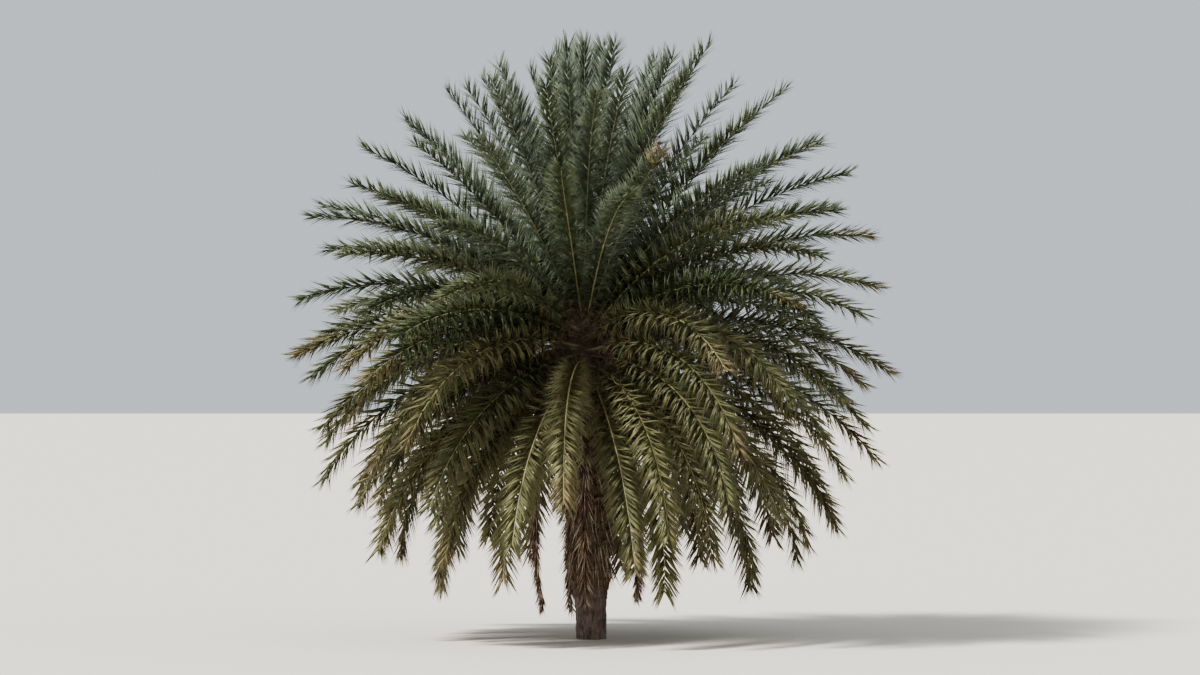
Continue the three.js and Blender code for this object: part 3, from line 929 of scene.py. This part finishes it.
RANK = math.radians(20)
RANKS = np.array([-2.2, 0.7, -0.7, 2.2])  # how many ranks off the fold fans stand, one after another
RANK_TAPER = (1.2, 0.8)  # from the petiole to the tip
TWIST = 0.35  # of a leaflet about its own line
TWIST_STRAY = 0.3
YOUNG_HALF = 0.0095
GROWN_HALF = 0.013
HALF_SCALES = (0.85, 1.15)
SHORT_HALF = 0.75  # the shortest leaflets tend towards this share of the width
YOUNG_SAG = 0.01
OLD_SAG = 0.17
SAG_SCALES = (0.4, 1.6)
LEAFLET_STATIONS = np.array([0, 0.35, 1])
LEAFLET_WIDTHS = np.array([0.5, 1])
LEAFLET_KEEL = 0.5  # its depth, as a share of the half width
LEAFLET_SEED = 5
TRUNK_ROOM = 0.03
LEAFLET_TINTS = {
    "bloom": (paint(100, 109, 89), paint(72, 81, 65), "young_leaf"),
    "grey_green": (paint(90, 99, 75), paint(63, 72, 52), "young_leaf"),
    "green": (paint(102, 109, 73), paint(73, 80, 52), "grown_leaf"),
    "deep_green": (paint(82, 92, 56), paint(56, 64, 40), "grown_leaf"),
    "olive": (paint(111, 110, 71), paint(79, 79, 50), "old_leaf"),
    "yellow_olive": (paint(129, 126, 84), paint(95, 93, 60), "old_leaf"),
    "straw": (paint(146, 134, 92), paint(110, 98, 64), "old_leaf"),
    "rust": (paint(118, 102, 74), paint(82, 69, 50), "dry_leaf"),
}
TINTS_BY_AGE = [  # up to an age: the chance of the first pair of tints, that pair, and the other pair
    (0.2, 0.7, ("bloom", "grey_green"), ("grey_green", "bloom")),
    (0.42, 0.6, ("grey_green", "green"), ("deep_green", "grey_green")),
    (0.62, 0.55, ("green", "olive"), ("deep_green", "green")),
    (0.82, 0.5, ("olive", "green"), ("yellow_olive", "olive")),
    (math.inf, 0.7, ("yellow_olive", "olive"), ("olive", "yellow_olive")),
]
AGE_STRAY = 0.06
MAIN_SHARE = 0.8  # of a frond's leaflets have its main tint
STRAW_SHARE = 0.7  # of the driest leaflets turn straw
RUST_SHARE = 0.4  # and then this share of them rust
DRY_TIP_ODDS = (-0.2, 0.55)  # of a dry tip on the youngest and the oldest frond, none if under 0
DRY_FOOT_ODDS = (-0.3, 0.7)
DRY_TIP_STARTS = (0.65, 0.9)  # where along the blade a dry tip may start
DRY_FOOT_END = 0.22
DRY_FOOT_SHARE = 0.6


def square_to(way, direction):
    """A direction made unit length and turned square to way."""
    return unit(direction - way * np.sum(direction * way, axis=1, keepdims=True))


def turned(vectors, axes, angles):
    """Vectors turned about axes at right angles to them."""
    angles = np.asarray(angles)[:, None]
    return vectors * np.cos(angles) + np.cross(axes, vectors) * np.sin(angles)


def leaflet_wave(blade):
    """How long leaflets are along a blade: longest in its middle."""
    return np.sin(math.pi * mix(*LEAFLET_WAVE, blade)) ** WAVE_POWER


def blade_shapes(root, way, face, reach, half, sag):
    """Closed keeled blades from their roots, each pointing along way with its flat side to face."""
    across = np.cross(way, face)
    t = LEAFLET_STATIONS[None, :, None]
    line = root[:, None] + way[:, None] * reach[:, None, None] * t
    line = line - np.array([0, 0, 1]) * (sag * reach)[:, None, None] * t**2
    ring = line[:, :-1]
    width = half[:, None, None] * LEAFLET_WIDTHS[None, :, None]
    left = ring - across[:, None] * width
    right = ring + across[:, None] * width
    keel = ring - face[:, None] * width * LEAFLET_KEEL
    rings = np.stack([right, keel, left], axis=2).reshape(len(root), -1, 3)
    return np.concatenate([rings, line[:, -1:]], axis=1)


BLADE_FACES = tube_faces(len(LEAFLET_WIDTHS), 3)


def leaflet_shapes(frond, rng):
    """The leaflets of one frond as blades, and each one's place from the petiole to the tip."""
    grown = float(smoothstep(frond["age"], *FILLING_AGES))
    fans = round(mix(YOUNG_FANS, GROWN_FANS, grown))
    count = 2 * fans * FAN
    fan = np.arange(count) // FAN
    step = fan // 2
    hand = hands(fan)
    within = (np.arange(count) % FAN + 0.5) / FAN
    shift, shared_lean, shared_fold = rng.normal(0, 1, (3, 2 * fans))[:, fan]
    blade = np.clip((step + FAN_SPAN * within + FAN_SHIFT * (1 + shift)) / fans, 0, 1)
    s = mix(*BLADE_SHARES, blade)
    points, along, side, up = spine(frond, s)
    half, depth = rib_size(frond, s)
    root = points + side * (LEAFLET_EDGE * hand * half)[:, None] - up * (LEAFLET_SINK * depth)[:, None]
    opened = mix(SPEAR_OPENING, 1, min(1, frond["number"] / SPEARS))
    lean = mix(FIRST_LEAN, LAST_LEAN, blade) + FAN_LEAN_STRAY * shared_lean
    lean = (lean + rng.normal(0, LEAN_STRAY, count)) * opened
    rank = RANKS[(step + 2 * (hand < 0)) % len(RANKS)] * RANK * mix(*RANK_TAPER, blade)
    fold = frond["fold"] + rank + FAN_OPENING * (within - 0.5) + FAN_FOLD_STRAY * shared_fold
    out = side * (hand * np.cos(fold))[:, None] + up * np.sin(fold)[:, None]
    way = along * np.cos(lean)[:, None] + out * np.sin(lean)[:, None]
    wave = leaflet_wave(blade)
    reach = frond["leaflet"] * wave * rng.uniform(*LEAFLET_SCALES, count)
    face = turned(square_to(way, up), way, hand * TWIST + rng.normal(0, TWIST_STRAY, count))
    full = mix(YOUNG_HALF, GROWN_HALF, grown)
    width = full * rng.uniform(*HALF_SCALES, count) * mix(SHORT_HALF, 1, wave)
    sag = mix(YOUNG_SAG, OLD_SAG, frond["age"]) * rng.uniform(*SAG_SCALES, count)
    return blade_shapes(root, way, face, reach, width, sag), blade


def clear_of_trunk(shapes):
    """Which blades keep clear of the trunk."""
    x, y, z = shapes[..., 0] - lean_at(shapes[..., 2]), shapes[..., 1], shapes[..., 2]
    free = np.hypot(x, y) > trunk_radius(z) + TRUNK_ROOM
    return np.all(free | (z > TRUNK_TOP), axis=1)


def tints_of(frond):
    """A frond's main tint and a second one that is dealt out among its leaflets."""
    age = frond["age"] + AGE_STRAY * swing(frond["number"], 21)
    _, share, pair, other = next(row for row in TINTS_BY_AGE if age < row[0])
    return pair if chance(frond["number"], 22) < share else other


def dryness(frond, blade):
    """How likely a frond's leaflets are to be dry: some old fronds have dry tips, and some dry feet."""
    age, number = frond["age"], frond["number"]
    tip_start = mix(*DRY_TIP_STARTS, chance(number, 42))
    tips = smoothstep(blade, tip_start, 1) * (chance(number, 41) < mix(*DRY_TIP_ODDS, age))
    feet = smoothstep(blade, DRY_FOOT_END, 0) * (chance(number, 43) < mix(*DRY_FOOT_ODDS, age))
    return np.maximum(tips, DRY_FOOT_SHARE * feet)


def deal_leaflets():
    """Deals every live leaflet to a tint: its points by tint, and the fronds that each tint is main on."""
    rng = np.random.default_rng(LEAFLET_SEED)
    dealt = {tint: [] for tint in LEAFLET_TINTS}
    fronds = {tint: [] for tint in LEAFLET_TINTS}
    for frond in LIVE:
        shapes, blade = leaflet_shapes(frond, rng)
        main, second = tints_of(frond)
        tint = np.where(rng.random(len(blade)) < MAIN_SHARE, main, second)
        dry = dryness(frond, blade)
        tint = np.where(rng.random(len(blade)) < STRAW_SHARE * dry, "straw", tint)
        tint = np.where(rng.random(len(blade)) < RUST_SHARE * dry, "rust", tint)
        kept = clear_of_trunk(shapes)
        for name in dealt:
            dealt[name].append(shapes[kept & (tint == name)])
        fronds[main].append(frond)
    return {name: np.concatenate(parts) for name, parts in dealt.items()}, fronds


def add_leaflets():
    dealt, fronds = deal_leaflets()
    for tint, (light, dark, slot) in LEAFLET_TINTS.items():
        material = leaf_material(f"leaf_{tint}", light, dark)
        leaflets = joined(f"leaflets_{tint}", dealt[tint], BLADE_FACES, material)
        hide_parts(*nodes_of(fronds[tint]))


add_leaflets()


# Dry leaflets
# The leaflets of the dead fronds have curled, narrowed and turned reddish brown, and hang in strands along
# the trunk. Some have come off their ribs and hang in a fringe, caught by the old leaf bases.

DRY_PAIRS = 380
DRY_HALF = 0.0085
DRY_HALF_SCALES = (0.6, 1.3)
DRY_SCALES = (0.8, 1.25)
DRY_FORWARD = 0.7  # along the rib; the next three are to its side, above it and straight down
DRY_ASIDE = (-0.1, 1.0)
DRY_ABOVE = (-0.4, 0.8)
DRY_FALL = (0.1, 1.3)
DRY_TWIST = (-1.5, 1.5)
DRY_SAG = (0, 0.2)
FRINGE_STRANDS = 1000
FRINGE_ZONE = (1.0, 2.4)
FRINGE_LENGTH = 0.5
FRINGE_SCALES = (0.5, 1.0)
FRINGE_HALF_SCALES = (0.5, 1.1)
FRINGE_GAP = 0.015  # off the trunk
FRINGE_AWAY = (0.05, 0.45)
FRINGE_STRAY = 0.12
BROWN_SHARE = 0.65
DRY_SEED = 8
DRY_TINTS = {
    "brown": (paint(132, 108, 92), paint(80, 62, 52)),
    "tan": (paint(226, 212, 190), paint(176, 158, 136)),
}


def dry_leaflet_shapes(frond, rng):
    """Leaflets that have gone limp on their rib: they point every way but up."""
    count = 2 * DRY_PAIRS
    hand = hands(np.arange(count))
    blade = rng.random(count)
    points, along, side, up = spine(frond, mix(*BLADE_SHARES, blade))
    out = side * (hand * rng.uniform(*DRY_ASIDE, count))[:, None]
    out = out + up * rng.uniform(*DRY_ABOVE, count)[:, None]
    way = unit(DRY_FORWARD * along + out - np.array([0, 0, 1]) * rng.uniform(*DRY_FALL, count)[:, None])
    face = turned(square_to(way, up), way, rng.uniform(*DRY_TWIST, count))
    reach = frond["leaflet"] * leaflet_wave(blade) * rng.uniform(*DRY_SCALES, count)
    width = DRY_HALF * rng.uniform(*DRY_HALF_SCALES, count)
    return blade_shapes(points, way, face, reach, width, rng.uniform(*DRY_SAG, count))


def round_trunk(azimuth, z, radius):
    """Points round the stem's middle line, with the directions across it and out of it."""
    flat = np.zeros(len(z))
    out = np.stack([np.cos(azimuth), np.sin(azimuth), flat], axis=1)
    across = np.stack([-np.sin(azimuth), np.cos(azimuth), flat], axis=1)
    return out * radius[:, None] + np.stack([lean_at(z), flat, z], axis=1), across, out


def fringe_shapes(rng):
    """Loose dry leaflets that hang from the old leaf bases."""
    count = FRINGE_STRANDS
    z = rng.uniform(*FRINGE_ZONE, count)
    azimuth = rng.uniform(0, 2 * math.pi, count)
    root, across, out = round_trunk(azimuth, z, trunk_radius(z) + FRINGE_GAP)
    away = out * rng.uniform(*FRINGE_AWAY, count)[:, None]
    way = unit(away + across * rng.normal(0, FRINGE_STRAY, count)[:, None] - np.array([0, 0, 1]))
    face = turned(square_to(way, out), way, rng.uniform(*DRY_TWIST, count))
    reach = FRINGE_LENGTH * rng.uniform(*FRINGE_SCALES, count)
    width = DRY_HALF * rng.uniform(*FRINGE_HALF_SCALES, count)
    return blade_shapes(root, way, face, reach, width, np.zeros(count))


def add_dry_leaflets():
    rng = np.random.default_rng(DRY_SEED)
    shapes = np.concatenate([dry_leaflet_shapes(frond, rng) for frond in DRY])
    shapes = np.concatenate([shapes[clear_of_trunk(shapes)], fringe_shapes(rng)])
    brown = rng.random(len(shapes)) < BROWN_SHARE
    for name, chosen in (("brown", brown), ("tan", ~brown)):
        light, dark = DRY_TINTS[name]
        material = fibre_material(f"dry_leaf_{name}", light, dark, streaks=(40, 40, 12), bump=0.0008)
        leaflets = joined(f"dry_leaflets_{name}", shapes[chosen], BLADE_FACES, material)
        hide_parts(*nodes_of(DRY))


add_dry_leaflets()


# Fibre
# Coarse brown fibre is what the sheaths fray out to. Torn strips of it stand off every stalk's foot and
# fill the gaps in the heart of the crown, and thinner strands stick out between the old leaf bases below.

SHEATH_STRIPS = 95  # on each frond
STRIP_LENGTH = 0.28
STRIP_SCALES = (0.3, 1.0)
STRIP_HALF = 0.006
STRIP_HALF_SCALES = (0.5, 1.3)
STRIP_FORWARD = (-0.2, 1.2)
STRIP_FALL = 0.3
FRAYED_END = 0.12  # share of the frond's length
HEART_STRANDS = {"count": 3600, "zone": (3.5, 4.42), "hang": 0.2, "length": 0.42}
TRUNK_STRANDS = {"count": 2600, "zone": (0.7, 3.5), "hang": 0.75, "length": 0.16}
STRAND_SCALES = (0.4, 1.0)
STRAND_HALF = 0.0032
STRAND_HALF_SCALES = (0.6, 1.6)
STRAND_STRAY = 0.8
STRAND_AWAY = (0.15, 0.8)
STRAND_SINK = 0.004
STRAND_TIP_RADIUS = 0.02  # of the stem, at the growing point's tip
DARK_SHARE = 0.75
FIBRE_SEED = 31
FIBRE_TINTS = {
    "dark": (paint(144, 132, 110), paint(89, 80, 65)),
    "tan": (paint(190, 172, 148), paint(136, 119, 99)),
}


def strip_spikes(frond, rng):
    """Strips that fray from the sheath of one frond, every way round its stalk."""
    s = rng.uniform(0, FRAYED_END, SHEATH_STRIPS)
    points, along, side, up = spine(frond, s)
    turn = rng.uniform(0, 2 * math.pi, SHEATH_STRIPS)[:, None]
    forward = rng.uniform(*STRIP_FORWARD, SHEATH_STRIPS)[:, None]
    way = unit(along * forward + side * np.cos(turn) + up * np.sin(turn) - np.array([0, 0, STRIP_FALL]))
    reach = STRIP_LENGTH * rng.uniform(*STRIP_SCALES, SHEATH_STRIPS)
    return spikes(points, way, reach, STRIP_HALF * rng.uniform(*STRIP_HALF_SCALES, SHEATH_STRIPS))


def strand_spikes(rng, count, zone, hang, length):
    """Strands rooted in the stem's skin: hang is how far they turn down, from 0 to 1."""
    z = rng.uniform(*zone, count)
    azimuth = rng.uniform(0, 2 * math.pi, count)
    bud = np.interp(z, (TRUNK_TOP, BUD_TIP), (BUD_RADIUS, STRAND_TIP_RADIUS))
    radius = np.where(z > TRUNK_TOP, bud, trunk_radius(z)) - STRAND_SINK
    root, across, out = round_trunk(azimuth, z, radius)
    fall = np.array([0, 0, -1.0]) * mix(rng.uniform(-1, 1, count), 1, hang)[:, None]
    aside = across * rng.normal(0, STRAND_STRAY, count)[:, None]
    way = unit(fall + aside + out * rng.uniform(*STRAND_AWAY, count)[:, None])
    reach = length * rng.uniform(*STRAND_SCALES, count)
    return spikes(root, way, reach, STRAND_HALF * rng.uniform(*STRAND_HALF_SCALES, count))


def add_fibre():
    rng = np.random.default_rng(FIBRE_SEED)
    heart = strand_spikes(rng, **HEART_STRANDS)
    trunk = strand_spikes(rng, **TRUNK_STRANDS)
    strips = [strip_spikes(frond, rng) for frond in LIVE]
    shapes = np.concatenate([heart, trunk, *strips])
    dark_ones = rng.random(len(shapes)) < DARK_SHARE
    for name, chosen in (("dark", dark_ones), ("tan", ~dark_ones)):
        light, dark = FIBRE_TINTS[name]
        material = fibre_material(f"fibre_{name}", light, dark, streaks=(50, 50, 50), bump=0.0005)
        fibre = joined(f"fibre_{name}", shapes[chosen], SPIKE_FACES, material)
        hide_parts("trunk")


add_fibre()
